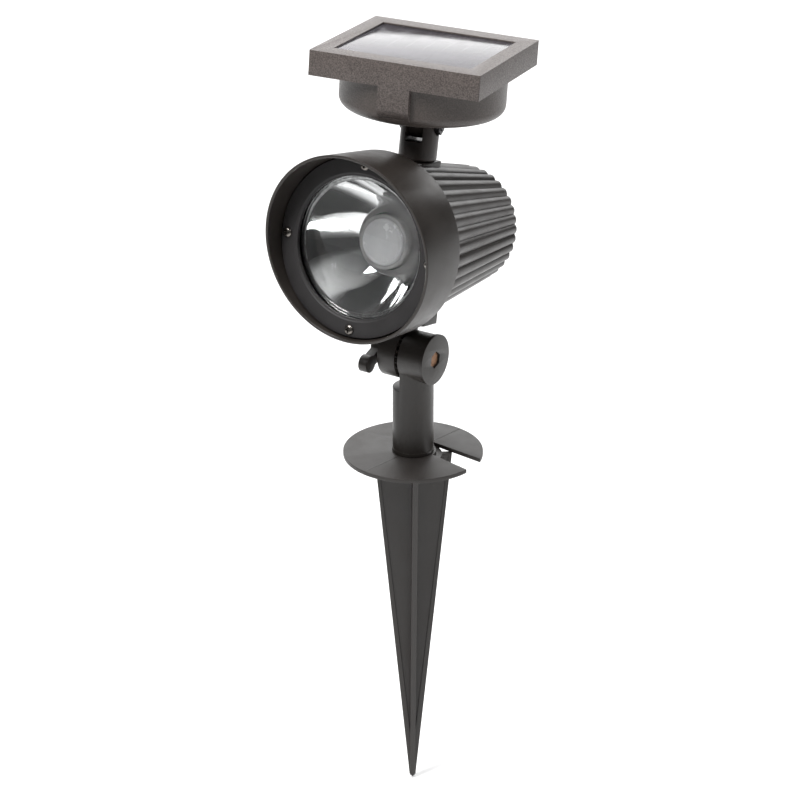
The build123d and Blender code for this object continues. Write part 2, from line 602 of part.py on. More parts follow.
# The bowl is a parabola, drawn as a quadratic curve whose middle point is where its end tangents meet.
slope = REFLECTOR_MOUTH_R / (2 * REFLECTOR_FOCUS)
mid_r = (REFLECTOR_MOUTH_R + REFLECTOR_NECK_R) / 2
mid_along = lens_back + slope * (mid_r - REFLECTOR_MOUTH_R)
with BuildPart() as reflector:
    with BuildSketch(lengthwise(BEAM)):
        with BuildLine():
            Bezier((REFLECTOR_MOUTH_R, lens_back), (mid_r, mid_along), (REFLECTOR_NECK_R, neck_front))
            Line((REFLECTOR_NECK_R, neck_front), (REFLECTOR_NECK_R, neck_front - REFLECTOR_WALL))
            Line((REFLECTOR_NECK_R, neck_front - REFLECTOR_WALL),
                 (REFLECTOR_NECK_R + REFLECTOR_WALL, neck_front - REFLECTOR_WALL))
            Bezier((REFLECTOR_NECK_R + REFLECTOR_WALL, neck_front - REFLECTOR_WALL),
                   (mid_r + REFLECTOR_WALL, mid_along - REFLECTOR_WALL),
                   (REFLECTOR_MOUTH_R + REFLECTOR_WALL, reflector_flange_back))
            Polyline((REFLECTOR_MOUTH_R + REFLECTOR_WALL, reflector_flange_back),
                     (LENS_R, reflector_flange_back), (LENS_R, lens_back), (REFLECTOR_MOUTH_R, lens_back))
        make_face()
    revolve(axis=Axis(BEAM.origin, BEAM.z_dir))
write(reflector, "reflector")

with BuildPart() as led_lens:
    turn(BEAM, [(0, LED_LENS_FRONT - LED_LENS_T), (LED_LENS_R, LED_LENS_FRONT - LED_LENS_T),
                (LED_LENS_R, LED_LENS_FRONT - LED_LENS_EDGE), (LED_LENS_R - LED_LENS_EDGE, LED_LENS_FRONT),
                (0, LED_LENS_FRONT)])
write(led_lens, "led_lens")

with BuildPart() as led_ring:
    turn(BEAM, [(LED_LENS_R + SEAT, board_front), (LED_RING_R, board_front),
                (LED_RING_R, LED_LENS_FRONT - LED_LENS_EDGE - LED_RING_EDGE),
                (LED_RING_R - LED_RING_EDGE, LED_LENS_FRONT - LED_LENS_EDGE),
                (LED_LENS_R + SEAT, LED_LENS_FRONT - LED_LENS_EDGE)])
write(led_ring, "led_ring")

with BuildPart() as led_board:
    tube(BEAM, LED_BOARD_R, 0, board_back, LED_BOARD_T)
    for side in (-1, 1):
        tube(shifted(BEAM, side * LED_SCREW_R), SCREW_R + FIT, 0, board_back - PAST, LED_BOARD_T + 2 * PAST,
             mode=Mode.SUBTRACT)
write(led_board, "led_board")

with BuildPart() as led_chips:
    for across in (-CHIP_PITCH / 2, CHIP_PITCH / 2):
        for upward in (-CHIP_PITCH / 2, CHIP_PITCH / 2):
            block(BEAM, CHIP_SIDE, CHIP_SIDE, board_front, CHIP_T, across=across, upward=upward)
write(led_chips, "led_chips")

with BuildPart() as heat_spreader:
    tube(BEAM, SPREADER_R, 0, spreader_back, SPREADER_T)
    for side in (-1, 1):
        tube(shifted(BEAM, side * LED_SCREW_R), SCREW_R + SEAT, 0, spreader_back - PAST, SPREADER_T + 2 * PAST,
             mode=Mode.SUBTRACT)
    tube(shifted(BEAM, upward=LED_BOARD_R + WIRE_HOLE_IN), WIRE_HOLE_R, 0, spreader_back - PAST,
         SPREADER_T + 2 * PAST, mode=Mode.SUBTRACT)
write(heat_spreader, "heat_spreader")

with BuildPart() as led_board_screws:
    for side in (-1, 1):
        screw(shifted(BEAM, side * LED_SCREW_R, 0, board_front), SCREW_R, LED_SCREW_L, SMALL_HEAD_R,
              SMALL_HEAD_T, SMALL_CROSS)
write(led_board_screws, "led_board_screws")

# ================= stem =================
reach = math.radians(PANEL_REACH)
stem_side = STEM_R * 1.1
ear_side_h = (FORK_TOP_R - stem_side * math.sin(reach)) / math.cos(reach)
ear_arc_y = FORK_TOP_R * math.sin(reach)
ear_arc_h = FORK_TOP_R * math.cos(reach)

with BuildPart() as panel_stem:
    tube(STEM, STEM_R, 0, STEM_BASE, STEM_HINGE + FORK_TOP_R - STEM_BASE)
    fillet(panel_stem.edges().group_by(Axis(STEM.origin, STEM.z_dir))[0], STEM_FOOT_R)
    with BuildSketch(HINGE.offset(-stem_side)) as ear_outline:
        with BuildLine():
            Polyline((ear_arc_y, ear_arc_h), (stem_side, ear_side_h), (stem_side, -STEM_HINGE),
                     (-stem_side, -STEM_HINGE), (-stem_side, ear_side_h), (-ear_arc_y, ear_arc_h))
            ThreePointArc((-ear_arc_y, ear_arc_h), (0, FORK_TOP_R), (ear_arc_y, ear_arc_h))
        make_face()
    extrude(ear_outline.sketch, amount=stem_side * 2, mode=Mode.INTERSECT)
    block(STEM, FORK_GAP, stem_side * 2, STEM_HINGE - FORK_FLOOR, FORK_FLOOR + stem_side, mode=Mode.SUBTRACT)
    tube(HINGE, HINGE_BOLT_R + SEAT, 0, -stem_side, stem_side * 2, mode=Mode.SUBTRACT)
    tube(HINGE, SEAT_R, 0, NUT_SEAT, STEM_R, mode=Mode.SUBTRACT)
    tube(HINGE, SEAT_R, 0, -NUT_SEAT - STEM_R, STEM_R, mode=Mode.SUBTRACT)
    tube(STEM, INSERT_R + SEAT, 0, STEM_BASE - PAST, INSERT_H + PAST, mode=Mode.SUBTRACT)
write(panel_stem, "panel_stem")

with BuildPart() as stem_insert:
    tube(STEM, INSERT_R, SWIVEL_SCREW_R + SEAT, STEM_BASE, INSERT_H)
write(stem_insert, "stem_insert")

washer_top = top_inner - AIR
with BuildPart() as swivel_washer:
    tube(STEM, SWIVEL_WASHER_R, SWIVEL_SCREW_R + SEAT, washer_top - WASHER_T, WASHER_T)
write(swivel_washer, "swivel_washer")

swivel_head = Plane(origin=shifted(STEM, along=washer_top - WASHER_T).origin, x_dir=STEM.x_dir,
                    z_dir=-STEM.z_dir)
with BuildPart() as swivel_screw:
    screw(swivel_head, SWIVEL_SCREW_R, STEM_BASE + INSERT_H - FIT - washer_top + WASHER_T, SWIVEL_HEAD_R,
          SWIVEL_HEAD_T, SWIVEL_CROSS)
write(swivel_screw, "swivel_screw")

bolt_end = NUT_SEAT + HINGE_NUT_T + BOLT_TIP
head_end = -NUT_SEAT - BOLT_HEAD_T
with BuildPart() as hinge_bolt:
    turn(HINGE, [(0, head_end), (BOLT_HEAD_R - BOLT_EDGE, head_end), (BOLT_HEAD_R, head_end + BOLT_EDGE),
                 (BOLT_HEAD_R, -NUT_SEAT), (HINGE_BOLT_R, -NUT_SEAT),
                 (HINGE_BOLT_R, bolt_end - BOLT_TIP_EDGE),
                 (HINGE_BOLT_R - BOLT_TIP_EDGE, bolt_end), (0, bolt_end)])
    for width, depth in ((BOLT_CROSS_LONG, BOLT_CROSS_WIDE), (BOLT_CROSS_WIDE, BOLT_CROSS_LONG)):
        block(HINGE, width, depth, head_end - PAST, PAST + BOLT_HEAD_T / 2, mode=Mode.SUBTRACT)
write(hinge_bolt, "hinge_bolt")

with BuildPart() as hinge_nut:
    hexagon(HINGE, NUT_ACROSS, NUT_SEAT, HINGE_NUT_T, turned=30)
    tube(HINGE, HINGE_BOLT_R + SEAT, 0, NUT_SEAT, HINGE_NUT_T, mode=Mode.SUBTRACT)
write(hinge_nut, "hinge_nut")

# ================= solar panel =================
frame_bottom = PANEL_TOP - FRAME_H
lip_bottom = PANEL_TOP - FRAME_LIP_T
inside = PANEL_SIDE - 2 * FRAME_WALL
flange_top = frame_bottom + DRUM_FLANGE_T
corner_at = PANEL_SIDE / 2 - CASE_SCREW_IN
corners = [(x * corner_at, y * corner_at) for x in (-1, 1) for y in (-1, 1)]
drum_floor = DRUM_BOTTOM + DRUM_WALL
drum_inside_r = DRUM_R - DRUM_WALL
window_x = PANEL_SIDE - 2 * BRIM_X
window_y = PANEL_SIDE - 2 * BRIM_Y
glass_x = window_x + 2 * GLASS_MARGIN
glass_y = window_y + 2 * GLASS_MARGIN
glass_bottom = lip_bottom - GLASS_T
backing_bottom = glass_bottom - CELL_T - BACKING_T
boss_side = CASE_SCREW_IN + BOSS_WALL - FRAME_WALL
boss_centre = inside / 2 - boss_side / 2
case_screw_length = backing_bottom - frame_bottom - AIR


def drum_body(radius, bottom, edge, top):
    """A round cup's outside: straight side, rounded lower edge and flat floor."""
    with BuildSketch(lengthwise(PANEL)) as half:
        with BuildLine():
            Polyline((0, bottom), (radius - edge, bottom))
            RadiusArc((radius - edge, bottom), (radius, bottom + edge), -edge)
            Polyline((radius, bottom + edge), (radius, top), (0, top), (0, bottom))
        make_face()
    return revolve(half.sketch, axis=Axis(PANEL.origin, PANEL.z_dir), mode=Mode.PRIVATE)


drum_outside = drum_body(DRUM_R, DRUM_BOTTOM, DRUM_EDGE_R, frame_bottom)
drum_hollow = drum_body(drum_inside_r, drum_floor, DRUM_EDGE_R - DRUM_WALL, PANEL_TOP)

tab_depth = PANEL_SIDE / 2 - (DRUM_R - DRUM_EDGE_R)
with BuildPart() as front_tab:
    block(PANEL, TAB_HALF * 2, tab_depth, TAB_END, frame_bottom - TAB_END, across=TAB_ACROSS,
          upward=-PANEL_SIDE / 2 + tab_depth / 2)
    low_edges = front_tab.edges().group_by(Axis(PANEL.origin, PANEL.z_dir))[0]
    fillet(low_edges.sort_by(Axis(PANEL.origin, PANEL.y_dir))[0], TAB_ROUND)
    add(drum_outside, mode=Mode.SUBTRACT)

with BuildPart() as panel_frame:
    block(PANEL, PANEL_SIDE, PANEL_SIDE, frame_bottom, FRAME_H, corner=FRAME_CORNER_R)
    block(PANEL, inside, inside, frame_bottom, FRAME_H - FRAME_LIP_T, mode=Mode.SUBTRACT)
    block(PANEL, window_x, window_y, lip_bottom, FRAME_LIP_T, mode=Mode.SUBTRACT)
    add(front_tab.part)
    for across, upward in corners:
        block(PANEL, boss_side, boss_side, flange_top, backing_bottom - flange_top,
              across=math.copysign(boss_centre, across), upward=math.copysign(boss_centre, upward))
        tube(shifted(PANEL, across, upward), SCREW_R + SEAT, 0, flange_top, backing_bottom - flange_top,
             mode=Mode.SUBTRACT)
write(panel_frame, "panel_frame")

lug_t = FORK_GAP - 2 * AIR
lug_hole_x = lug_t + 2 * SEAT
lug_hole_y = LUG_R * 2 + 2 * SEAT
lug_screw_at = (lug_t + LUG_PLATE_X) / 4
battery_pitch = 2 * BATTERY_R + FIT
tray_screw_x = battery_pitch / 2
tray_floor = drum_floor + TRAY_LIFT
tray_x = BATTERY_COUNT * battery_pitch + 2 * TRAY_WALL
tray_y = BATTERY_L + TRAY_END_ROOM
tray_top = tray_floor + TRAY_WALL + 2 * BATTERY_R + TRAY_BRIM

switch_slot_x = SWITCH_STUB_X + 2 * AIR
switch_slot_y = SWITCH_STUB_Y + SWITCH_TRAVEL + 2 * AIR

with BuildPart() as battery_drum:
    add(drum_outside)
    block(PANEL, inside - 2 * FIT, inside - 2 * FIT, frame_bottom, DRUM_FLANGE_T)
    add(drum_hollow, mode=Mode.SUBTRACT)
    block(PANEL, lug_hole_x, lug_hole_y, DRUM_BOTTOM - PAST, DRUM_WALL + 2 * PAST, mode=Mode.SUBTRACT)
    for side in (-1, 1):
        tube(shifted(PANEL, side * lug_screw_at), SCREW_R + SEAT, 0, DRUM_BOTTOM - PAST, DRUM_WALL + 2 * PAST,
             mode=Mode.SUBTRACT)
        post_place = shifted(PANEL, side * tray_screw_x, side * TRAY_SCREW_OUT)
        tube(post_place, TRAY_POST_R, 0, drum_floor, TRAY_LIFT)
        tube(post_place, SCREW_R + SEAT, 0, drum_floor - PAST, TRAY_LIFT + 2 * PAST, mode=Mode.SUBTRACT)
    block(PANEL, switch_slot_x, switch_slot_y, DRUM_BOTTOM - PAST, DRUM_WALL + 2 * PAST, across=SWITCH_X,
          mode=Mode.SUBTRACT)
    for across, upward in corners:
        tube(shifted(PANEL, across, upward), SCREW_R + FIT, 0, frame_bottom - PAST, DRUM_FLANGE_T + 2 * PAST,
             mode=Mode.SUBTRACT)
write(battery_drum, "battery_drum")

with BuildPart() as case_screws:
    for across, upward in corners:
        seat = shifted(PANEL, across, upward, frame_bottom)
        head = Plane(origin=seat.origin, x_dir=PANEL.x_dir, z_dir=-PANEL.z_dir)
        screw(head, SCREW_R, case_screw_length, SCREW_HEAD_R, SCREW_HEAD_T, SCREW_CROSS)
write(case_screws, "case_screws")

with BuildPart() as solar_glass:
    block(PANEL, glass_x, glass_y, glass_bottom, GLASS_T)
write(solar_glass, "solar_glass")

with BuildPart() as glass_seal:
    block(PANEL, glass_x + 2 * SEAL_W, glass_y + 2 * SEAL_W, glass_bottom, GLASS_T)
    block(PANEL, glass_x, glass_y, glass_bottom, GLASS_T, mode=Mode.SUBTRACT)
write(glass_seal, "glass_seal")

cell_pitch = (window_x - 2 * CELL_MARGIN) / CELL_COUNT
with BuildPart() as solar_cells:
    for cell in range(CELL_COUNT):
        across = (cell - (CELL_COUNT - 1) / 2) * cell_pitch
        block(PANEL, cell_pitch - CELL_GAP, window_y - 2 * CELL_MARGIN, glass_bottom - CELL_T, CELL_T,
              across=across)
write(solar_cells, "solar_cells")

with BuildPart() as cell_backing:
    block(PANEL, glass_x, glass_y, backing_bottom, BACKING_T)
write(cell_backing, "cell_backing")

with BuildPart() as panel_lug:
    tube(HINGE, LUG_R, 0, -lug_t / 2, lug_t)
    block(PANEL, lug_t, LUG_R * 2, 0, drum_floor)
    block(PANEL, LUG_PLATE_X, LUG_PLATE_Y, drum_floor, LUG_PLATE_T, corner=LUG_PLATE_CORNER_R)
    tube(HINGE, HINGE_BOLT_R + RUN, 0, -STEM_R, STEM_R * 2, mode=Mode.SUBTRACT)
    for side in (-1, 1):
        tube(shifted(PANEL, side * lug_screw_at), SCREW_R + SEAT, 0, drum_floor - PAST,
             LUG_PLATE_T + 2 * PAST, mode=Mode.SUBTRACT)
write(panel_lug, "panel_lug")

with BuildPart() as lug_screws:
    for side in (-1, 1):
        screw(shifted(PANEL, side * lug_screw_at, 0, drum_floor + LUG_PLATE_T), SCREW_R,
              LUG_PLATE_T + DRUM_WALL - FIT, SMALL_HEAD_R, SMALL_HEAD_T, SMALL_CROSS)
write(lug_screws, "lug_screws")

with BuildPart() as battery_tray:
    block(PANEL, tray_x, tray_y, tray_floor, tray_top - tray_floor, corner=TRAY_CORNER_R)
    block(PANEL, tray_x - 2 * TRAY_WALL, tray_y - 2 * TRAY_WALL, tray_floor + TRAY_WALL, tray_top,
          mode=Mode.SUBTRACT)
    for side in (-1, 1):
        tube(shifted(PANEL, side * tray_screw_x, side * TRAY_SCREW_OUT), SCREW_R + FIT, 0, tray_floor - PAST,
             TRAY_WALL + 2 * PAST, mode=Mode.SUBTRACT)
write(battery_tray, "battery_tray")

with BuildPart() as tray_screws:
    for side in (-1, 1):
        screw(shifted(PANEL, side * tray_screw_x, side * TRAY_SCREW_OUT, tray_floor + TRAY_WALL),
              SCREW_R, TRAY_SCREW_L, SMALL_HEAD_R, SMALL_HEAD_T, SMALL_CROSS)
write(tray_screws, "tray_screws")

battery_axis = tray_floor + TRAY_WALL + FIT + BATTERY_R
battery_places = [(i - (BATTERY_COUNT - 1) / 2) * battery_pitch for i in range(BATTERY_COUNT)]
with BuildPart() as batteries:
    for across in battery_places:
        centre = shifted(PANEL, across, 0, battery_axis)
        lying = Plane(origin=centre.origin, x_dir=PANEL.x_dir, z_dir=PANEL.y_dir)
        shoulder = BATTERY_L / 2 - CONTACT_NUB_T
        turn(lying, [(0, -BATTERY_L / 2), (BATTERY_R, -BATTERY_L / 2), (BATTERY_R, shoulder),
                     (CONTACT_NUB_R, shoulder), (CONTACT_NUB_R, BATTERY_L / 2), (0, BATTERY_L / 2)])
write(batteries, "batteries")

with BuildPart() as contact_plates:
    for across in battery_places:
        for side in (-1, 1):
            block(PANEL, PLATE_X, PLATE_T, tray_floor + TRAY_WALL + PLATE_LIFT, PLATE_H, across=across,
                  upward=side * (tray_y / 2 - TRAY_WALL - PLATE_T / 2))
write(contact_plates, "contact_plates")

spring_room = tray_y / 2 - TRAY_WALL - PLATE_T - BATTERY_L / 2
with BuildPart() as contact_springs:
    for across in battery_places:
        centre = shifted(PANEL, across, 0, battery_axis)
        lying = Plane(origin=centre.origin, x_dir=PANEL.x_dir, z_dir=PANEL.y_dir)
        turn(lying, [(SPRING_IN_R, -BATTERY_L / 2 - spring_room), (SPRING_WIDE_R, -BATTERY_L / 2 - spring_room),
                     (SPRING_NARROW_R, -BATTERY_L / 2), (SPRING_IN_R, -BATTERY_L / 2)])
write(contact_springs, "contact_springs")

board_bottom = tray_top + AIR
with BuildPart() as control_board:
    block(PANEL, BOARD_X, BOARD_Y, board_bottom, BOARD_T)
write(control_board, "control_board")

with BuildPart() as board_components:
    for across, upward, width, depth, height in CHARGER_PARTS:
        block(PANEL, width, depth, board_bottom + BOARD_T, height, across=across, upward=upward)
write(board_components, "board_components")

with BuildPart() as switch_body:
    block(PANEL, switch_slot_x + 2 * SWITCH_WALL, switch_slot_y + 2 * SWITCH_END_WALL, drum_floor, SWITCH_H,
          across=SWITCH_X)
    block(PANEL, switch_slot_x, switch_slot_y, drum_floor, SWITCH_WELL, across=SWITCH_X, mode=Mode.SUBTRACT)
write(switch_body, "switch_body")

with BuildPart() as switch_slider:
    block(PANEL, SWITCH_STUB_X, SWITCH_STUB_Y, DRUM_BOTTOM - SWITCH_STUB_OUT,
          SWITCH_STUB_OUT + DRUM_WALL + SWITCH_STUB_IN, across=SWITCH_X, upward=-SWITCH_TRAVEL / 2)
write(switch_slider, "switch_slider")
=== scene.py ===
import json
import math

import bmesh
import bpy
from mathutils import Matrix, Vector


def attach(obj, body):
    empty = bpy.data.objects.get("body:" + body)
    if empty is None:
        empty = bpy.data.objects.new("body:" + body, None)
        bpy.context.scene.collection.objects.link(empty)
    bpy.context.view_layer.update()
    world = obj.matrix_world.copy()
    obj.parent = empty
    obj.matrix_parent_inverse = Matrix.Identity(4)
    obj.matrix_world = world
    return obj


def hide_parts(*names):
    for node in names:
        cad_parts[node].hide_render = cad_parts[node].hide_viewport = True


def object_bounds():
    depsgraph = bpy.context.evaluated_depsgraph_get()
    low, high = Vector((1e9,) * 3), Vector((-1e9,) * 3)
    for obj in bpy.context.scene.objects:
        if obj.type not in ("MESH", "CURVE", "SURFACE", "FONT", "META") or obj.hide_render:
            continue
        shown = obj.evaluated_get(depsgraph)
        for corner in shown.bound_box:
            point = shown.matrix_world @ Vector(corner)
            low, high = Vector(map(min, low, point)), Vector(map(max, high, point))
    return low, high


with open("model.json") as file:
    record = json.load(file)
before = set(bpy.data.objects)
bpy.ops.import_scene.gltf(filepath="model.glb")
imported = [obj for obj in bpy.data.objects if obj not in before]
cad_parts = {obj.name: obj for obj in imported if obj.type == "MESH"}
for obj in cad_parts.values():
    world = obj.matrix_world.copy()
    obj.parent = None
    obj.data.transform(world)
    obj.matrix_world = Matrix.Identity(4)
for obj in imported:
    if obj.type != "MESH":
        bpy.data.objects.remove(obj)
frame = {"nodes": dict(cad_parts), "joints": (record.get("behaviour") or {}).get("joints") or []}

cad_low, cad_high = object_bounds()
MM = 0.001

# ---------------------------------------------------------------- the studio
# A pale seamless floor just under the spike's tip. A wide soft box behind the lamp and one high on its left
# give most of the light; narrow ones stand on the right and a weak one hangs overhead. The camera looks
# through a long lens from a metre and a half.
AIM_ACROSS = -7.02 * MM
AIM_UP = 31.27 * MM
CAMERA_AZIMUTH = math.radians(32.54)
CAMERA_ELEVATION = math.radians(24.09)
CAMERA_DISTANCE = 1.524
CAMERA_LENS = 128.7
LIGHTS_AIM = Vector((0, 0, 100 * MM))
FLOOR_SIDE = 30.0
FLOOR_DROP = 1 * MM
scene = bpy.context.scene
across = Vector((math.cos(CAMERA_AZIMUTH), math.sin(CAMERA_AZIMUTH), 0))


def outward_ray(azimuth, rise):
    """The direction from the lamp to something at a compass bearing and a height, both in radians."""
    return Vector((math.sin(azimuth) * math.cos(rise), -math.cos(azimuth) * math.cos(rise), math.sin(rise)))


back = outward_ray(CAMERA_AZIMUTH, CAMERA_ELEVATION)
aim = across * AIM_ACROSS + Vector((0, 0, AIM_UP))
camera = bpy.data.objects.new("camera", bpy.data.cameras.new("camera"))
scene.collection.objects.link(camera)
camera.location = aim + back * CAMERA_DISTANCE
camera.rotation_mode = "QUATERNION"
camera.rotation_quaternion = (-back).to_track_quat("-Z", "Y")
camera.data.lens = CAMERA_LENS
camera.data.sensor_width = 36
camera.data.clip_start = 0.05
scene.camera = camera
scene.view_settings.view_transform = "Standard"


def softbox(name, bearing, rise, distance, size, power):
    """A soft box that faces the lamp, at a compass bearing from the camera and a height in degrees."""
    away = outward_ray(CAMERA_AZIMUTH + math.radians(bearing), math.radians(rise))
    light = bpy.data.lights.new(name, "AREA")
    light.shape = "RECTANGLE"
    light.size, light.size_y = size
    light.energy = power
    box = bpy.data.objects.new(name, light)
    scene.collection.objects.link(box)
    box.location = LIGHTS_AIM + away * distance
    box.rotation_mode = "QUATERNION"
    box.rotation_quaternion = away.to_track_quat("Z", "Y")


softbox("left_softbox", -52, 56, 1.5, (0.5, 0.9), 30)
softbox("right_softbox", 82, 30, 1.5, (0.30, 1.2), 4)
softbox("front_right_softbox", 35, 55, 1.4, (0.12, 0.7), 3)
softbox("overhead_softbox", 60, 78, 1.3, (0.9, 0.7), 5)
softbox("rear_softbox", 180, 34, 2.0, (3.4, 2.4), 56)

world = bpy.data.worlds.new("studio_air")
world.use_nodes = True
world.node_tree.nodes["Background"].inputs["Color"].default_value = (1, 1, 1, 1)
world.node_tree.nodes["Background"].inputs["Strength"].default_value = 0.06
scene.world = world


def shaded(name, settings):
    """A new material with some of its shader's inputs set, and its node tree and shader to build on."""
    material = bpy.data.materials.new(name)
    material.use_nodes = True
    shader = material.node_tree.nodes["Principled BSDF"]
    for label, value in settings.items():
        shader.inputs[label].default_value = value
    return material, material.node_tree, shader


paper = shaded("studio_paper", {
    "Base Color": (0.92, 0.92, 0.92, 1), "Roughness": 0.9, "Specular IOR Level": 0.1,
    "Emission Color": (1, 1, 1, 1), "Emission Strength": 0.08})[0]
reach = FLOOR_SIDE / 2
level = cad_low.z - FLOOR_DROP
floor_mesh = bpy.data.meshes.new("floor")
floor_mesh.from_pydata([(-reach, -reach, level), (reach, -reach, level), (reach, reach, level),
                        (-reach, reach, level)], [], [(0, 1, 2, 3)])
floor = bpy.data.objects.new("floor", floor_mesh)
scene.collection.objects.link(floor)
floor_mesh.materials.append(paper)

# ---------------------------------------------------------------- the ground stake
# One ABS moulding: the slotted collar, its hub and the crossed blades with their thickened rims.
# Its edges are softened by the mould, the surface has a fine spark-eroded grain, and the mould's parting line
# crosses the collar at right angles to the slot.
COLLAR_TOP = 2.2 * MM
PARTING_BEARINGS = (79, 259)
PARTING_SIZE = (25.4 * MM, 0.7 * MM, 0.12 * MM)
PARTING_CENTRE = (24.3 * MM, 0, COLLAR_TOP + 0.02 * MM)
NOISE_LOW, NOISE_HIGH = 0.3, 0.7


def wire(tree, *links):
    """Joins each (node, output, node, input) in the tree."""
    for source, output, target, inlet in links:
        tree.links.new(source.outputs[output], target.inputs[inlet])


def noise(tree, scale, detail=3, rough=0.5, kind="ShaderNodeTexNoise"):
    """A noise texture over the piece's own coordinates, of the given scale in cycles per metre."""
    place = tree.nodes.new("ShaderNodeTexCoord")
    node = tree.nodes.new(kind)
    node.inputs["Scale"].default_value = scale
    node.inputs["Detail"].default_value = detail
    node.inputs["Roughness"].default_value = rough
    wire(tree, (place, "Object", node, "Vector"))
    return node


def ramp(tree, source, low_out, high_out, low_in=NOISE_LOW, high_in=NOISE_HIGH):
    """A node's value spread between two limits."""
    node = tree.nodes.new("ShaderNodeMapRange")
    limits = {"From Min": low_in, "From Max": high_in, "To Min": low_out, "To Max": high_out}
    for label, value in limits.items():
        node.inputs[label].default_value = value
    wire(tree, (source, 0, node, "Value"))
    return node


def tinted(tree, colour, lightness):
    """A colour made lighter and darker by another node."""
    node = tree.nodes.new("ShaderNodeVectorMath")
    node.operation = "SCALE"
    node.inputs[0].default_value = colour
    wire(tree, (lightness, 0, node, "Scale"))
    return node


def mixed(tree, pick, first, second):
    """The first colour where the pick node is low and the second where it is high."""
    node = tree.nodes.new("ShaderNodeMix")
    node.data_type = "RGBA"
    node.inputs["A"].default_value = (*first, 1)
    node.inputs["B"].default_value = (*second, 1)
    wire(tree, (pick, 0, node, "Factor"))
    return node


def relief(tree, height, depth, shader):
    """Raises the shader's surface by up to the depth where the height node is high."""
    node = tree.nodes.new("ShaderNodeBump")
    node.inputs["Distance"].default_value = depth
    wire(tree, (height, 0, node, "Height"), (node, "Normal", shader, "Normal"))


def moulded(name, colour, roughness, grain=2200, depth=0.03 * MM, mottle=0.14, haze=0.07, scuffs=0.0):
    """Grained plastic: a fine bump, cloudy lightness and cloudy gloss, and pale scuffs where asked."""
    material, tree, shader = shaded(name, {"Specular IOR Level": 0.42})
    cloud = noise(tree, 70, 6, 0.65)
    gloss = ramp(tree, cloud, roughness - haze, roughness + haze)
    shade = tinted(tree, colour, ramp(tree, cloud, 1 - mottle, 1 + mottle))
    wire(tree, (gloss, "Result", shader, "Roughness"))
    relief(tree, noise(tree, grain), depth, shader)
    if scuffs:
        streaks = ramp(tree, noise(tree, 240, 8, 0.75), 0, scuffs, 0.62, 0.74)
        pale = [min(1, part * 3.2) for part in colour]
        blend = mixed(tree, streaks, colour, pale)
        wire(tree, (shade, "Vector", blend, "A"), (blend, "Result", shader, "Base Color"))
    else:
        wire(tree, (shade, "Vector", shader, "Base Color"))
    return material


def as_mesh(shape, name):
    """The working shape as a mesh; the working copy is freed."""
    mesh = bpy.data.meshes.new(name)
    shape.to_mesh(mesh)
    shape.free()
    return mesh


def plain_mesh(obj):
    """The object's evaluated geometry as a mesh of its own; the working object is removed."""
    graph = bpy.context.evaluated_depsgraph_get()
    mesh = bpy.data.meshes.new_from_object(obj.evaluated_get(graph))
    bpy.data.objects.remove(obj)
    return mesh


def rounded(mesh, width, sharp=30, steps=3):
    """The mesh with every edge sharper than the limit rounded off, as a mould or a file leaves it."""
    work = bpy.data.objects.new("work", mesh)
    scene.collection.objects.link(work)
    bevel = work.modifiers.new("edges", "BEVEL")
    bevel.width = width
    bevel.segments = steps
    bevel.limit_method = "ANGLE"
    bevel.angle_limit = math.radians(sharp)
    return plain_mesh(work)


def softened(node, width):
    """A copy of a node's mesh, joined up, with its edges rounded off."""
    shape = bmesh.new()
    shape.from_mesh(frame["nodes"][node].data)
    bmesh.ops.remove_doubles(shape, verts=shape.verts, dist=0.002 * MM)
    bmesh.ops.dissolve_limit(shape, angle_limit=math.radians(0.5), verts=shape.verts, edges=shape.edges)
    return rounded(as_mesh(shape, node), width)


def block(size, centre):
    """A plain block of the given size about a centre."""
    shape = bmesh.new()
    bmesh.ops.create_cube(shape, size=1)
    bmesh.ops.scale(shape, verts=shape.verts, vec=size)
    bmesh.ops.translate(shape, verts=shape.verts, vec=centre)
    return as_mesh(shape, "block")


def joined(*meshes):
    """Several meshes as one."""
    shape = bmesh.new()
    for mesh in meshes:
        shape.from_mesh(mesh)
    return as_mesh(shape, "joined")


def fitted(mesh, name, material, body, slot, *nodes):
    """The finished piece: smooth faces, one material, riding on its body in place of its nodes."""
    mesh.materials.clear()
    mesh.materials.append(material)
    mesh.polygons.foreach_set("use_smooth", [True] * len(mesh.polygons))
    mesh.polygons.foreach_set("material_index", [0] * len(mesh.polygons))
    mesh.set_sharp_from_angle(angle=math.radians(32))
    piece = bpy.data.objects.new(name, mesh)
    scene.collection.objects.link(piece)
    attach(piece, body)
    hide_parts(*nodes)
    return piece


stake_abs = moulded("stake_abs", (0.024, 0.0205, 0.0185), 0.44, scuffs=0.25)
parting = []
for bearing in PARTING_BEARINGS:
    line = block(PARTING_SIZE, PARTING_CENTRE)
    line.transform(Matrix.Rotation(math.radians(bearing), 4, "Z"))
    parting.append(line)
fitted(joined(softened("ground_stake", 0.35 * MM), *parting), "stake_moulding", stake_abs, "stake",
       "stake_plastic", "ground_stake")

# ---------------------------------------------------------------- the post and its knuckle
# The post and the head's bracket are one material, moulded with a pebbled skin. Their serrated faces meet
# round the clamp bolt, and a brass nut is pressed into the hexagonal pocket.


def metal(name, colour, roughness, grain=900, depth=0.01 * MM, haze=0.08):
    """Worked metal: fine tool marks in the bump and an uneven polish."""
    material, tree, shader = shaded(name, {"Metallic": 1})
    marks = noise(tree, grain, 5, 0.7)
    polish = ramp(tree, marks, roughness - haze, roughness + haze)
    shade = tinted(tree, colour, ramp(tree, noise(tree, 180, 4), 0.82, 1.08))
    wire(tree, (polish, "Result", shader, "Roughness"), (shade, "Vector", shader, "Base Color"))
    relief(tree, marks, depth, shader)
    return material


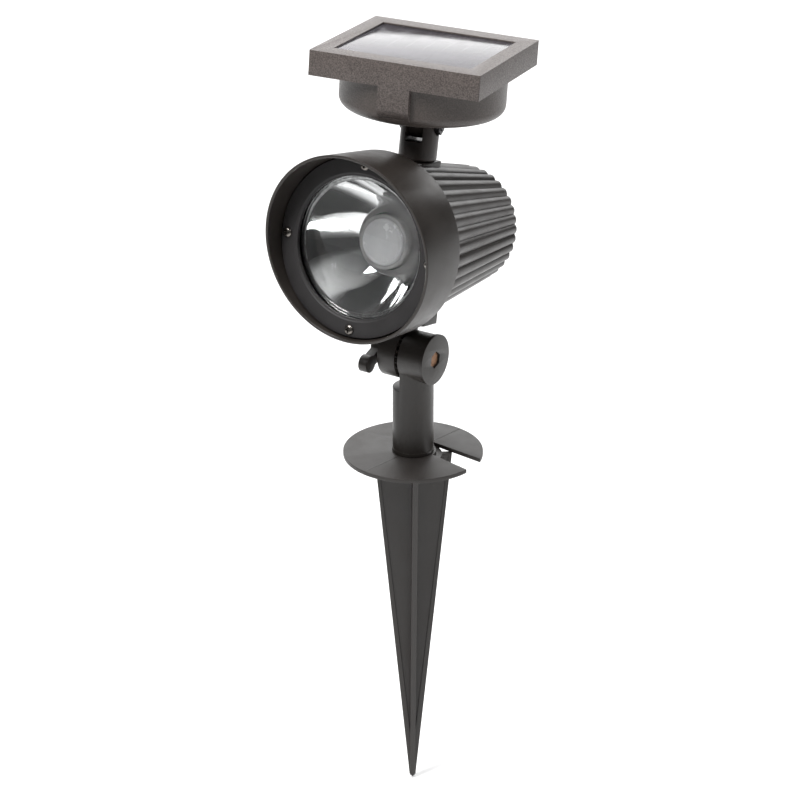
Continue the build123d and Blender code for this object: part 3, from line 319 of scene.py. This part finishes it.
def finish_node(material, *nodes):
    """Gives CAD nodes that keep their own shape their real finish."""
    for node in nodes:
        for place in frame["nodes"][node].material_slots:
            place.material = material


knuckle_abs = moulded("knuckle_abs", (0.024, 0.0205, 0.018), 0.36, grain=1500, depth=0.07 * MM)
brass = metal("pressed_brass", (0.24, 0.135, 0.08), 0.45)
steel = metal("bright_steel", (0.42, 0.41, 0.40), 0.30)
fitted(softened("post", 0.45 * MM), "post_moulding", knuckle_abs, "post", "post_plastic", "post")
fitted(softened("knuckle_bracket", 0.45 * MM), "bracket_moulding", knuckle_abs, "head", "post_plastic",
       "knuckle_bracket")
fitted(softened("thumb_knob", 0.9 * MM), "wing_knob", knuckle_abs, "thumb_screw", "post_plastic",
       "thumb_knob")
fitted(softened("clamp_nut", 0.2 * MM), "brass_nut", brass, "post", "brass", "clamp_nut")
finish_node(brass, "clamp_bolt")
finish_node(steel, "clamp_washer", "bracket_screws")

# ---------------------------------------------------------------- the barrel
# The lamp's body is a tapered moulding with 36 rounded flutes that end in a scalloped rear edge. The flutes
# are one flute repeated round the beam, and the pads carry the stem above and the bracket below.
AXIS_RISE = 66.2 * MM
FRONT_REACH = 68.1 * MM
STEM_BACK = 51.3 * MM
FLUTES = 36
FLUTE_DEPTH = 1.4 * MM
FLUTE_STEPS = 10
BARREL_FRONT = (44.0 * MM, -20.0 * MM)
BARREL_REAR = (31.6 * MM, -109.9 * MM)
REAR_ROUND = 1.8 * MM
ROUND_STEPS = 4
PAD_EDGE = 0.6 * MM
WELD = 0.001 * MM
joints = {joint["name"]: joint for joint in frame["joints"]}
knuckle = Vector(joints["head_tilt"]["pos_m"])
right = Vector((1, 0, 0))
upward = Vector(joints["panel_swivel"]["axis"])
ahead = right.cross(upward)


def place_at(origin, x, z):
    """The matrix that carries a piece made round its own z axis to its place on the lamp."""
    y = z.cross(x)
    matrix = Matrix((x, y, z)).transposed().to_4x4()
    matrix.translation = origin
    return matrix


BEAM = place_at(knuckle + upward * AXIS_RISE + ahead * FRONT_REACH, right, ahead)


def profile(*points):
    """An outline from (radius, place along the axis) points in millimetres."""
    return [(radius * MM, along * MM) for radius, along in points]


def strip(rows):
    """A mesh sheet from rows of points; the rows are joined side by side."""
    shape = bmesh.new()
    grid = [[shape.verts.new(point) for point in row] for row in rows]
    for row, following in zip(grid, grid[1:]):
        for k in range(len(row) - 1):
            shape.faces.new((row[k], row[k + 1], following[k + 1], following[k]))
    bmesh.ops.remove_doubles(shape, verts=shape.verts, dist=WELD)
    return as_mesh(shape, "strip")


def copies_tree():
    """Geometry nodes: a piece repeated, each copy turned about z and shifted one step further."""
    tree = bpy.data.node_groups.new("copies", "GeometryNodeTree")
    for label, kind in (("Piece", "Geometry"), ("Copies", "Int"), ("Turn", "Float"), ("Shift", "Vector"),
                        ("Material", "Material")):
        tree.interface.new_socket(label, in_out="INPUT", socket_type="NodeSocket" + kind)
    tree.interface.new_socket("Made", in_out="OUTPUT", socket_type="NodeSocketGeometry")
    inlet = tree.nodes.new("NodeGroupInput")
    outlet = tree.nodes.new("NodeGroupOutput")
    order = tree.nodes.new("GeometryNodeInputIndex")
    points = tree.nodes.new("GeometryNodePoints")
    angle = tree.nodes.new("ShaderNodeMath")
    angle.operation = "MULTIPLY"
    step = tree.nodes.new("ShaderNodeVectorMath")
    step.operation = "SCALE"
    spin = tree.nodes.new("FunctionNodeAxisAngleToRotation")
    spin.inputs["Axis"].default_value = (0, 0, 1)
    put = tree.nodes.new("GeometryNodeInstanceOnPoints")
    real = tree.nodes.new("GeometryNodeRealizeInstances")
    weld = tree.nodes.new("GeometryNodeMergeByDistance")
    weld.inputs["Distance"].default_value = WELD
    paint = tree.nodes.new("GeometryNodeSetMaterial")
    wire(tree, (order, 0, angle, 0), (inlet, "Turn", angle, 1), (order, 0, step, "Scale"),
         (inlet, "Shift", step, 0), (inlet, "Copies", points, "Count"), (step, "Vector", points, "Position"),
         (points, 0, put, "Points"), (inlet, "Piece", put, "Instance"), (angle, 0, spin, "Angle"),
         (spin, 0, put, "Rotation"), (put, 0, real, 0), (real, 0, weld, "Geometry"),
         (weld, "Geometry", paint, "Geometry"), (inlet, "Material", paint, "Material"),
         (paint, "Geometry", outlet, "Made"))
    return tree


copies = copies_tree()
copies_sockets = {item.name: item.identifier for item in copies.interface.items_tree
                  if item.in_out == "INPUT"}


def repeated(mesh, count, turn, shift, material, place):
    """The copies of one mesh as a plain mesh, carried to its place."""
    work = bpy.data.objects.new("work", mesh)
    scene.collection.objects.link(work)
    modifier = work.modifiers.new("copies", "NODES")
    modifier.node_group = copies
    modifier[copies_sockets["Copies"]] = count
    modifier[copies_sockets["Turn"]] = turn
    modifier[copies_sockets["Shift"]] = shift
    modifier[copies_sockets["Material"]] = material
    made = plain_mesh(work)
    made.transform(place)
    return made


def outward(mesh):
    """The mesh with all its faces turned outwards."""
    shape = bmesh.new()
    shape.from_mesh(mesh)
    bmesh.ops.recalc_face_normals(shape, faces=shape.faces)
    return as_mesh(shape, "outward")


def flute_row(crest, along, depth=0):
    """One row of points across a flute, highest in the middle."""
    row = []
    for k in range(FLUTE_STEPS + 1):
        turn = 2 * math.pi / FLUTES * k / FLUTE_STEPS
        radius = max(0, crest - depth * (2 * k / FLUTE_STEPS - 1) ** 2)
        row.append((radius * math.cos(turn), radius * math.sin(turn), along))
    return row


def bar(width, depth, low, high, place, beside=0, edge=PAD_EDGE):
    """A rounded block between two heights, centred beside its place's axis."""
    mesh = rounded(block((width, depth, high - low), (beside, 0, (low + high) / 2)), edge)
    mesh.transform(place)
    return mesh


rear_wall = profile((0, -108.6), (25.4, -108.6), (25.9, -108.9), (26.3, -109.9), (28.4, -109.9))
hood_seat = profile((45.8, -20.0), (45.8, -5.5), (39.6, -5.5))
inside_wall = profile((39.6, -7.7), (35.2, -7.7), (35.2, -34.5), (33.0, -34.5), (28.0, -107.0), (0, -107.0))
rows = [flute_row(*point) for point in rear_wall]
for k in range(ROUND_STEPS + 1):
    turn = math.pi / 2 * (1 - k / ROUND_STEPS)
    share = 0.6 + 0.4 * k / ROUND_STEPS
    rows.append(flute_row(BARREL_REAR[0] - REAR_ROUND * (1 - math.cos(turn)),
                          BARREL_REAR[1] + REAR_ROUND * (1 - math.sin(turn)), FLUTE_DEPTH * share))
rows.append(flute_row(*BARREL_FRONT, FLUTE_DEPTH))
rows += [flute_row(*point) for point in hood_seat + inside_wall]
head_abs = moulded("head_abs", (0.023, 0.0192, 0.0168), 0.35, grain=1900, depth=0.035 * MM)
fluted = repeated(strip(rows), FLUTES, 2 * math.pi / FLUTES, (0, 0, 0), head_abs, BEAM)
stem_foot = place_at(BEAM @ Vector((0, 0, -STEM_BACK)), right, upward)
bracket_top = place_at(BEAM @ Vector((0, 0, -FRONT_REACH)), right, upward)
top_pad = bar(width=18.4 * MM, depth=18.4 * MM, low=33 * MM, high=40.5 * MM, place=stem_foot)
foot_pad = bar(width=22.5 * MM, depth=16.0 * MM, low=-41.5 * MM, high=-33.5 * MM, place=bracket_top,
               beside=-2.75 * MM)
fitted(joined(outward(fluted), top_pad, foot_pad), "fluted_barrel", head_abs, "head", "head_plastic",
       "barrel_housing")

# ---------------------------------------------------------------- the hood
# A plain tapered shade, 1.6 mm thick, pushed over the barrel's front. Its rim is cut on a slant, so it
# reaches further over the top of the lens, and an inner flange is trapped under the bezel.
TURN_STEPS = 180
EASE_STEPS = 4
ON_AXIS = 0.01 * MM
HOOD_RAKE = 0.177
RAKE_ABOVE = 5 * MM


def eased(outline, radius):
    """The outline with each corner that is off the axis rounded."""
    soft = []
    for k, corner in enumerate(outline):
        corner = Vector(corner)
        if corner.x < ON_AXIS:
            soft.append(tuple(corner))
            continue
        before = Vector(outline[k - 1]) - corner
        after = Vector(outline[(k + 1) % len(outline)]) - corner
        reach = min(radius, before.length * 0.45, after.length * 0.45)
        start = corner + before.normalized() * reach
        end = corner + after.normalized() * reach
        for j in range(EASE_STEPS + 1):
            t = j / EASE_STEPS
            soft.append(tuple(start * (1 - t) ** 2 + corner * 2 * t * (1 - t) + end * t ** 2))
    return soft


def turned(outline, place, rake=0.0, steps=TURN_STEPS):
    """A closed solid turned from its outline; with a rake, its front rim is cut on a slant."""
    shape = bmesh.new()
    rings = []
    for radius, height in outline:
        ring = []
        for k in range(steps if radius > ON_AXIS else 1):
            turn = 2 * math.pi * k / steps
            side = radius * math.sin(turn)
            lift = rake * side if height > RAKE_ABOVE else 0
            ring.append(shape.verts.new((radius * math.cos(turn), side, height + lift)))
        rings.append(ring)
    for ring, following in zip(rings, rings[1:] + rings[:1]):
        for j in range(steps):
            corners = []
            for vertex in (ring[j % len(ring)], ring[(j + 1) % len(ring)],
                           following[(j + 1) % len(following)], following[j % len(following)]):
                if vertex not in corners:
                    corners.append(vertex)
            if len(corners) > 2:
                shape.faces.new(corners)
    bmesh.ops.recalc_face_normals(shape, faces=shape.faces)
    mesh = as_mesh(shape, "turned")
    mesh.transform(place)
    return mesh


hood_outline = profile((46.2, -22.5), (47.8, -22.5), (48.9, 9.6), (47.3, 9.6), (46.7, -4.0), (40.0, -4.0),
                       (40.0, -5.5), (46.6, -5.5))
fitted(turned(eased(hood_outline, 0.5 * MM), BEAM, rake=HOOD_RAKE), "hood_shade", head_abs, "head",
       "head_plastic", "hood")

# ---------------------------------------------------------------- the bezel and its screws
# A matt moulded ring holds the lens down. Four steel pan-head screws with cross recesses go through it into
# the barrel.
SCREW_CIRCLE = 42.5 * MM
BEZEL_TOP = -1.5 * MM
SCREW_HEAD_R = 2.6 * MM
SCREW_HEAD_RISE = 1.5 * MM
SCREW_SHANK_R = 1.3 * MM
RECESS_LENGTH = 1.4
RECESS_WIDTH = 0.42
RECESS_TAPER = 0.55
bezel_abs = moulded("bezel_abs", (0.0165, 0.0150, 0.0155), 0.52, grain=2400, depth=0.06 * MM)
bezel_outline = profile((36.5, -4.0), (46.2, -4.0), (46.2, -1.5), (38.1, -1.5), (37.4, -1.9), (36.5, -2.0))
fitted(turned(eased(bezel_outline, 0.35 * MM), BEAM), "bezel", bezel_abs, "head", "bezel_plastic",
       "bezel_ring")


def cross_screw(length):
    """A pan-head screw standing on z 0, with a cross recess that narrows towards its floor."""
    outline = [(0, -length), (SCREW_SHANK_R * 0.6, -length), (SCREW_SHANK_R, -length + SCREW_SHANK_R),
               (SCREW_SHANK_R, 0), (SCREW_HEAD_R, 0), (SCREW_HEAD_R, SCREW_HEAD_RISE * 0.45),
               (SCREW_HEAD_R * 0.72, SCREW_HEAD_RISE * 0.9), (0, SCREW_HEAD_RISE)]
    solid = turned(eased(outline, SCREW_HEAD_RISE * 0.4), Matrix.Identity(4), steps=40)
    screw = bpy.data.objects.new("screw", solid)
    scene.collection.objects.link(screw)
    arms = bmesh.new()
    for long, wide in ((RECESS_LENGTH, RECESS_WIDTH), (RECESS_WIDTH, RECESS_LENGTH)):
        for vertex in bmesh.ops.create_cube(arms, size=1)["verts"]:
            deep = vertex.co.z < 0
            reach = SCREW_HEAD_R * (RECESS_TAPER if deep else 1.0)
            vertex.co = Vector((vertex.co.x * long * reach, vertex.co.y * wide * reach,
                                SCREW_HEAD_RISE * (0.15 if deep else 1.3)))
    cross = bpy.data.objects.new("cross", as_mesh(arms, "cross"))
    scene.collection.objects.link(cross)
    cut = screw.modifiers.new("recess", "BOOLEAN")
    cut.operation = "DIFFERENCE"
    cut.object = cross
    cut.solver = "EXACT"
    cut.use_self = True
    made = plain_mesh(screw)
    bpy.data.objects.remove(cross)
    return made


bezel_screw = cross_screw(length=11 * MM)
bezel_screw.transform(Matrix.Translation((SCREW_CIRCLE, 0, BEZEL_TOP)))
screw_steel = metal("screw_steel", (0.23, 0.212, 0.195), 0.27, haze=0.10)
fitted(repeated(bezel_screw, 4, math.pi / 2, (0, 0, 0), screw_steel, BEAM), "bezel_screw_set", screw_steel,
       "head", "steel", "bezel_screws")

# ---------------------------------------------------------------- the lens, the reflector and the lamp
# A clear flat acrylic lens covers a vacuum-metallised parabolic bowl, whose flange it sits on. A frosted dome
# over the LEDs fills the bowl's neck, inside a pale moulded ring.
MOUTH_R = 34.0 * MM
NECK_R = 14.0 * MM
FLANGE_R = 39.4 * MM
FOCUS = 11.0 * MM
MOUTH_AT = -6.6 * MM
BOWL_ROWS = 60
WALL = 1.1 * MM
GROOVE_RADII = (34.5 * MM, 35.9 * MM)
DOME_STEPS = 96
mouth_depth = MOUTH_R ** 2 / (4 * FOCUS)
groove_profile = profile((0, 0), (0.15, -0.35), (0.45, -0.35), (0.6, 0))


def bowl_height(radius):
    """The parabola's place along the beam at a radius."""
    return MOUTH_AT - mouth_depth + radius ** 2 / (4 * FOCUS)


def vacuum_chrome():
    """A bright metallised skin: cloudy in tone and polish, with slow ripples from the moulding under it."""
    material, tree, shader = shaded("vacuum_chrome", {"Metallic": 1})
    cloud = noise(tree, 90, 4)
    wire(tree, (ramp(tree, cloud, 0.03, 0.12, 0.35, 0.75), "Result", shader, "Roughness"),
         (ramp(tree, cloud, 0.84, 0.90), "Result", shader, "Base Color"))
    relief(tree, noise(tree, 45, 2), 0.12 * MM, shader)
    return material


def clear_acrylic():
    """Clear acrylic with a little dust that dulls it here and there."""
    material, tree, shader = shaded("clear_acrylic", {
        "Base Color": (0.97, 0.98, 0.98, 1), "Transmission Weight": 1, "IOR": 1.49})
    dust = ramp(tree, noise(tree, 900, 6, 0.7), 0.0, 0.10, 0.55, 0.8)
    wire(tree, (dust, "Result", shader, "Roughness"))
    return material


bowl_radii = [NECK_R + (MOUTH_R - NECK_R) * k / BOWL_ROWS for k in range(BOWL_ROWS + 1)]
bowl = [(radius, bowl_height(radius)) for radius in bowl_radii]
for groove in GROOVE_RADII:
    bowl += [(groove + out, MOUTH_AT + along) for out, along in groove_profile]
bowl += [(FLANGE_R, MOUTH_AT), (FLANGE_R, MOUTH_AT - WALL), (MOUTH_R + WALL, MOUTH_AT - WALL)]
bowl += [(radius + WALL * 0.8, bowl_height(radius) - WALL * 0.7) for radius in reversed(bowl_radii[:-2])]
fitted(turned(bowl, BEAM), "reflector_bowl", vacuum_chrome(), "head", "reflector_chrome", "reflector")

lens_outline = profile((0, -6.6), (39.4, -6.6), (39.4, -4.6), (0, -4.6))
fitted(turned(eased(lens_outline, 0.3 * MM), BEAM), "clear_lens", clear_acrylic(), "head", "clear_lens",
       "front_lens")

frosted = moulded("frosted_lens", (0.86, 0.85, 0.86), 0.24, grain=1300, depth=0.04 * MM, mottle=0.10)
frosted.node_tree.nodes["Principled BSDF"].inputs["Transmission Weight"].default_value = 0.2
dome = profile((0, -28.6), (11.7, -28.6), (11.7, -25.2), (11.1, -24.5), (10.2, -24.3), (9.5, -24.7),
               (7.4, -24.0), (5.0, -23.3), (2.5, -22.9), (0, -22.8))
fitted(turned(eased(dome, 0.5 * MM), BEAM, steps=DOME_STEPS), "frosted_dome", frosted, "head",
       "frosted_lens", "led_lens")
ring_abs = moulded("lamp_ring", (0.40, 0.39, 0.39), 0.22)
ring_outline = profile((11.72, -29.9), (13.6, -29.9), (13.6, -25.6), (13.0, -25.0), (11.72, -25.0))
fitted(turned(eased(ring_outline, 0.25 * MM), BEAM, steps=DOME_STEPS), "lamp_collar", ring_abs, "head",
       "led_ring_plastic", "led_ring")

# ---------------------------------------------------------------- inside the head
# The glass-fibre LED board is screwed to its milled aluminium heat spreader, and a rubber gasket seals the
# lens. They are closed in, so they keep their plain shape.
rubber = moulded("black_rubber", (0.012, 0.012, 0.012), 0.62)
board = moulded("green_board", (0.02, 0.13, 0.05), 0.3, grain=900)
phosphor = moulded("led_phosphor", (0.80, 0.60, 0.08), 0.35)
spreader = metal("milled_aluminium", (0.62, 0.63, 0.65), 0.34)
finish_node(rubber, "lens_gasket")
finish_node(board, "led_board")
finish_node(phosphor, "led_chips")
finish_node(spreader, "heat_spreader")
finish_node(steel, "led_board_screws")

# ---------------------------------------------------------------- the stem
# A short round ABS column turns on the barrel's pad, held by a screw into its brass insert. Its forked top
# takes the panel's lug on a cross bolt with a blackened nut.
stem_abs = moulded("stem_abs", (0.045, 0.037, 0.033), 0.36, grain=1500, depth=0.06 * MM)
black_steel = metal("blackened_steel", (0.055, 0.053, 0.055), 0.40)
fitted(softened("panel_stem", 0.35 * MM), "stem_column", stem_abs, "stem", "panel_plastic", "panel_stem")
fitted(softened("hinge_bolt", 0.2 * MM), "hinge_screw", black_steel, "stem", "steel", "hinge_bolt")
fitted(softened("hinge_nut", 0.25 * MM), "hinge_hex_nut", black_steel, "stem", "steel", "hinge_nut")
fitted(softened("panel_lug", 0.3 * MM), "lug_tongue", stem_abs, "panel", "panel_plastic", "panel_lug")
finish_node(brass, "stem_insert")
finish_node(steel, "swivel_screw", "swivel_washer", "lug_screws")

# ---------------------------------------------------------------- the panel frame and the drum
# A square moulded tray in hammered paint, with a front tab, sits over a round battery drum in the same warm
# grey. Four screws from below hold the drum's square flange in the tray's corners.
CASE_SPREAD = 39.0 * MM
CASE_LEVEL = 28.0 * MM
hinge = Vector(joints["panel_tilt"]["pos_m"])
panel_right = Vector(joints["panel_tilt"]["axis"])
panel_rear = Vector(joints["power_switch"]["axis"])
PANEL = place_at(hinge, panel_right, panel_right.cross(panel_rear))


def hammered(name, colour, dark, roughness, scale, depth):
    """Hammered paint: pale flakes and dark pits over the ground colour, raised a little."""
    material, tree, shader = shaded(name, {})
    flake = noise(tree, scale, 2, 0.6)
    pit = noise(tree, scale * 0.55, 0, kind="ShaderNodeTexVoronoi")
    pick = ramp(tree, flake, 0, 1, 0.34, 0.66)
    blend = mixed(tree, pick, dark, colour)
    shade = tinted(tree, colour, ramp(tree, noise(tree, 60, 4, 0.6), 0.93, 1.07))
    gloss = ramp(tree, pick, roughness + 0.08, roughness - 0.06, 0, 1)
    height = tree.nodes.new("ShaderNodeMath")
    height.operation = "ADD"
    wire(tree, (blend, "Result", shade, 0), (shade, "Vector", shader, "Base Color"),
         (gloss, "Result", shader, "Roughness"), (flake, "Fac", height, 0), (pit, "Distance", height, 1))
    relief(tree, height, depth, shader)
    return material


frame_paint = hammered("hammered_paint", (0.118, 0.098, 0.090), (0.042, 0.034, 0.031), 0.42, 1500, 0.10 * MM)
drum_paint = hammered("drum_paint", (0.080, 0.066, 0.059), (0.050, 0.041, 0.037), 0.40, 1700, 0.07 * MM)
fitted(softened("panel_frame", 0.4 * MM), "panel_tray", frame_paint, "panel", "panel_plastic", "panel_frame")
fitted(softened("battery_drum", 0.4 * MM), "drum_shell", drum_paint, "panel", "drum_plastic", "battery_drum")

case_screw = cross_screw(length=6 * MM)
case_screw.transform(Matrix.Translation((CASE_SPREAD, CASE_SPREAD, 0)))
under = PANEL @ Matrix.Translation((0, 0, CASE_LEVEL)) @ Matrix.Rotation(math.pi, 4, "X")
fitted(repeated(case_screw, 4, math.pi / 2, (0, 0, 0), screw_steel, under), "case_screw_set", screw_steel,
       "panel", "steel", "case_screws")

# ---------------------------------------------------------------- the solar cells under their glass
# Eight strips of silicon lie on a grey backing sheet, with narrow gaps between them. A sheet of hazy glass
# covers them, and a dark rubber seal runs round its edge.
CELL_COUNT = 8
CELL_SPAN = 71.4 * MM
CELL_PITCH = CELL_SPAN / CELL_COUNT
CELL_GAP = 0.8 * MM
CELL_LONG = 66.4 * MM
CELL_THICK = 0.4 * MM
CELL_BOTTOM = 37.7 * MM


def hazy_glass():
    """Cover glass with a cloudy film that tints it and dulls its polish."""
    material, tree, shader = shaded("solar_cover_glass", {"Transmission Weight": 0.85, "IOR": 1.45})
    haze = noise(tree, 140, 7, 0.7)
    tint = tinted(tree, (0.36, 0.335, 0.38), ramp(tree, haze, 0.85, 1.1))
    wire(tree, (ramp(tree, haze, 0.06, 0.22, 0.3, 0.75), "Result", shader, "Roughness"),
         (tint, "Vector", shader, "Base Color"))
    return material


silicon = moulded("silicon_cell", (0.030, 0.028, 0.044), 0.26, grain=300, depth=0.004 * MM, mottle=0.25)
first_cell = Matrix.Translation((-(CELL_COUNT - 1) / 2 * CELL_PITCH, 0, CELL_BOTTOM))
cell = bar(width=CELL_PITCH - CELL_GAP, depth=CELL_LONG, low=0, high=CELL_THICK, place=first_cell,
           edge=0.08 * MM)
fitted(repeated(cell, CELL_COUNT, 0, (CELL_PITCH, 0, 0), silicon, PANEL), "silicon_strips", silicon, "panel",
       "silicon_cell", "solar_cells")
backing = moulded("cell_backing", (0.10, 0.098, 0.115), 0.5)
finish_node(backing, "cell_backing")
finish_node(rubber, "glass_seal")
fitted(softened("solar_glass", 0.25 * MM), "cover_glass", hazy_glass(), "panel", "solar_glass", "solar_glass")

# ---------------------------------------------------------------- inside the panel, and the switch
# Three sleeved batteries sit in a black moulded tray with sprung steel contacts, beside the charge board. The
# slide switch is fixed inside the drum, and its stub shows underneath.
sleeve = moulded("battery_sleeve", (0.03, 0.20, 0.07), 0.25, grain=600, depth=0.01 * MM)
tray_abs = moulded("tray_abs", (0.02, 0.02, 0.02), 0.4)
finish_node(sleeve, "batteries")
finish_node(board, "control_board")
finish_node(tray_abs, "battery_tray", "switch_body", "board_components")
finish_node(steel, "contact_plates", "contact_springs", "tray_screws")
fitted(softened("switch_slider", 0.2 * MM), "switch_stub", tray_abs, "switch", "switch_plastic",
       "switch_slider")
